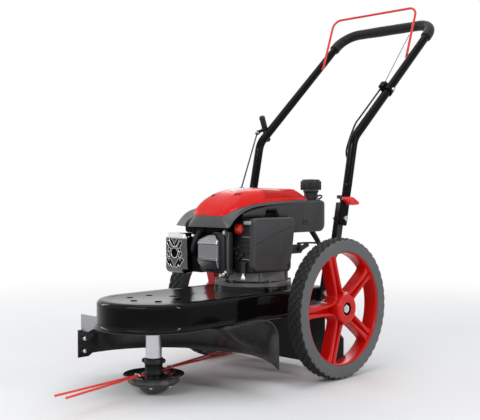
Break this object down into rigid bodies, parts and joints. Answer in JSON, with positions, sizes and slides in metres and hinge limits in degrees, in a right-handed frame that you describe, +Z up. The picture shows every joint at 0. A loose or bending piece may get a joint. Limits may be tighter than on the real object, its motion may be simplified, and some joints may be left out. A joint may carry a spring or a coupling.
{
  "type": "wheeled string trimmer",
  "caption": "Walk-behind string trimmer on spoked wheels: an engine drives a line head by belt under a pressed deck, with a folding handle, bail and guard.",
  "frame": {"origin": "on the ground, at the middle of the bounding box: between the wheels, midway from the line's tip to the back of the grip", "axes": "+Z up, -Y ahead the way the machine travels, +X to the operator's left along the axle"},
  "size_m": [0.491, 1.2811, 1.0204],
  "materials": {
    "black_paint": "gloss",
    "zinc": "bright zinc",
    "steel": "satin",
    "alloy": "cast",
    "dark_alloy": "painted dark, cast",
    "guard_chrome": "bright pressed sheet",
    "black_sheet": "heat-proof matt",
    "rubber": "matt",
    "primer_rubber": "smooth",
    "tyre": "moulded",
    "red_wheel": "satin",
    "red_cover": "gloss",
    "grey_plastic": "fine grain",
    "light_plastic": "satin",
    "black_plastic": "fine grain",
    "red_paint": "gloss",
    "nylon": "clear-red",
    "foam": "closed-cell foam",
    "cord": "braided"
  },
  "bodies": {
    "chassis": {"deck_shell": "black_paint", "belt_plate": "black_paint", "guard": "black_paint", "guard_bracket": "black_paint", "guard_stay": "zinc", "rear_flap": "rubber", "frame_bolts": "zinc", "spindle_housing": "zinc", "spindle_bearings": "steel", "drive_belt": "rubber", "axle": "steel", "axle_bushes": "black_plastic", "axle_spacers": "steel", "axle_nuts": "zinc", "engine_plate": "black_paint", "crankcase": "alloy", "cylinder_block": "dark_alloy", "cylinder_head": "dark_alloy", "valve_cover": "alloy", "plug_boot": "rubber", "muffler_body": "black_sheet", "muffler_guard": "guard_chrome", "intake_box": "black_plastic", "filter_cover": "grey_plastic", "cowl": "grey_plastic", "top_cover": "red_cover", "starter_insert": "light_plastic", "fuel_tank": "grey_plastic", "post_left": "black_paint", "post_right": "black_paint", "cable_lower": "rubber", "starter_rope": "cord"},
    "trimmer_head": {"spindle_shaft": "steel", "driven_pulley": "steel", "head_collar": "black_paint", "head_hardware": "zinc", "dish_plate": "black_paint", "line_ring": "grey_plastic", "ground_dome": "grey_plastic", "cutting_lines": "nylon"},
    "engine_shaft": {"crankshaft": "steel", "drive_pulley": "steel"},
    "wheel_left": {"wheel_rim_left": "red_wheel", "tyre_left": "tyre"},
    "wheel_right": {"wheel_rim_right": "red_wheel", "tyre_right": "tyre"},
    "handle": {"handle_tube": "black_paint", "foam_grip": "foam", "cable_clamp": "black_plastic", "cable_sheath": "rubber", "rope_guide": "zinc", "cable_wire": "steel"},
    "knob_left": {"wing_knob_left": "red_wheel"},
    "knob_right": {"wing_knob_right": "red_wheel"},
    "bail_bar": {"bail": "red_paint"},
    "brake": {"brake_lever": "steel"},
    "filler_cap": {"fuel_cap": "black_plastic"},
    "primer": {"primer_bulb": "primer_rubber"},
    "pull_grip": {"starter_grip": "black_plastic"}
  },
  "joints": [
    {"name": "left_wheel_spin", "type": "hinge", "parent": "chassis", "child": "wheel_left", "pos_m": [0.2165, 0.08658, 0.178], "axis": [1, 0, 0], "continuous": true},
    {"name": "right_wheel_spin", "type": "hinge", "parent": "chassis", "child": "wheel_right", "pos_m": [-0.2165, 0.08658, 0.178], "axis": [1, 0, 0], "continuous": true},
    {"name": "head_spin", "type": "hinge", "parent": "chassis", "child": "trimmer_head", "pos_m": [0, -0.34042, 0.06], "axis": [0, 0, 1], "continuous": true},
    {"name": "engine_spin", "type": "hinge", "parent": "chassis", "child": "engine_shaft", "pos_m": [0, 0.00158, 0.223], "axis": [0, 0, 1], "continuous": true},
    {"name": "handle_fold", "type": "hinge", "parent": "chassis", "child": "handle", "pos_m": [0, 0.16758, 0.402], "axis": [1, 0, 0], "range_deg": [0, 130], "deforming": ["cable_lower", "starter_rope"]},
    {"name": "left_knob_turn", "type": "hinge", "parent": "handle", "child": "knob_left", "pos_m": [0.169, 0.1776, 0.44792], "axis": [1, 0, 0], "continuous": true},
    {"name": "right_knob_turn", "type": "hinge", "parent": "handle", "child": "knob_right", "pos_m": [-0.169, 0.1776, 0.44792], "axis": [1, 0, 0], "continuous": true},
    {"name": "bail_close", "type": "hinge", "parent": "handle", "child": "bail_bar", "pos_m": [0, 0.48975, 0.85901], "axis": [1, 0, 0], "range_deg": [-20, 0], "stiffness_Nm_per_rad": 2, "springref_deg": 20.05, "deforming": ["cable_wire"]},
    {"name": "brake_turn", "type": "hinge", "parent": "chassis", "child": "brake", "pos_m": [0.064, 0.11958, 0.319], "axis": [1, 0, 0], "range_deg": [0, 16]},
    {"name": "cap_turn", "type": "hinge", "parent": "chassis", "child": "filler_cap", "pos_m": [0.052, 0.17758, 0.483], "axis": [0, 0, 1], "range_deg": [0, 90]},
    {"name": "primer_press", "type": "slide", "parent": "chassis", "child": "primer", "axis": [0, 1, 0], "range_m": [0, 0.006], "stiffness_N_per_m": 400},
    {"name": "rope_pull", "type": "slide", "parent": "handle", "child": "pull_grip", "axis": [0, 0.7478, 0.6639], "range_m": [0, 0.4], "stiffness_N_per_m": 12, "springref_m": -0.3}
  ],
  "couplings": [
    {"joint": "engine_spin", "follows": "head_spin", "ratio": 1.5172},
    {"joint": "brake_turn", "follows": "bail_close", "ratio": -0.8}
  ]
}
